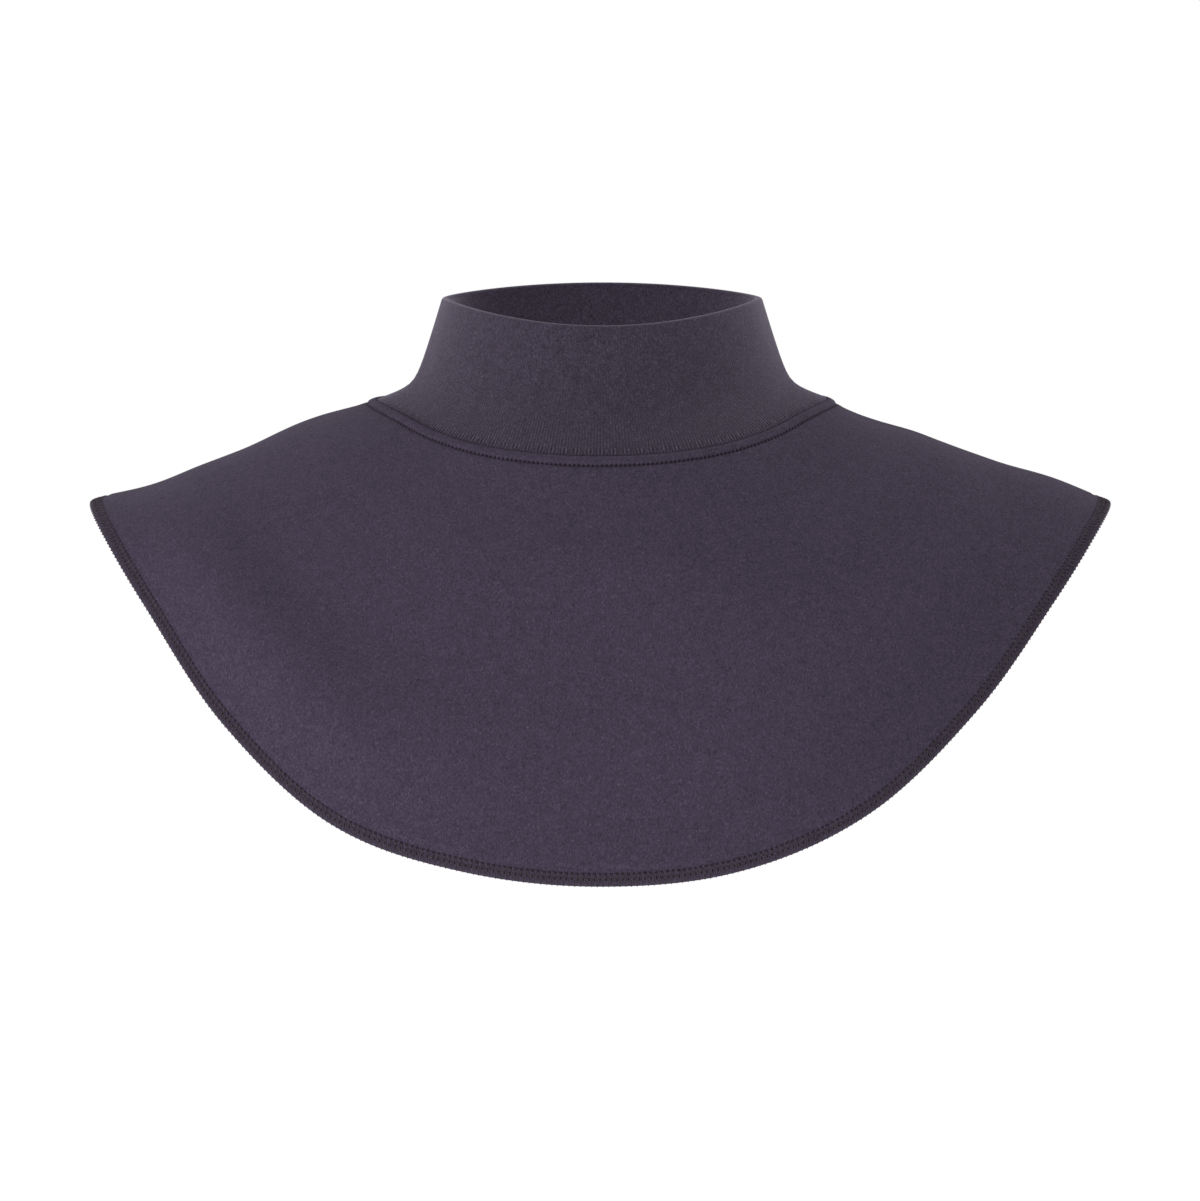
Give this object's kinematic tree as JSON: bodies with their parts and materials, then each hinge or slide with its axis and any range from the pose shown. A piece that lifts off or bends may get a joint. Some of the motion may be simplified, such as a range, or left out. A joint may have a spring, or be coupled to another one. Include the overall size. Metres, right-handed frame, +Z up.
{
  "type": "turtleneck dickey",
  "caption": "Knitted mock-neck dickey: a short double-ply stand-up collar on a shoulder cape with an overlocked edge, worn under a jacket or coat.",
  "frame": {"origin": "centre of the neck, at the level where the collar's seam lies on the shoulders", "axes": "+Z up along the neck, -Y out of the chest, +X towards the viewer's right, along the shoulders"},
  "size_m": [0.4074, 0.2336, 0.2214],
  "materials": {
    "collar_knit": "matte fine rib knit, charcoal purple heather",
    "body_knit": "matte fine knit, charcoal purple heather",
    "overlock_thread": "matte spun overlock thread, a little browner than the knit"
  },
  "bodies": {
    "root": {"collar": "collar_knit", "body": "body_knit", "hem_overlock": "overlock_thread"}
  },
  "joints": []
}
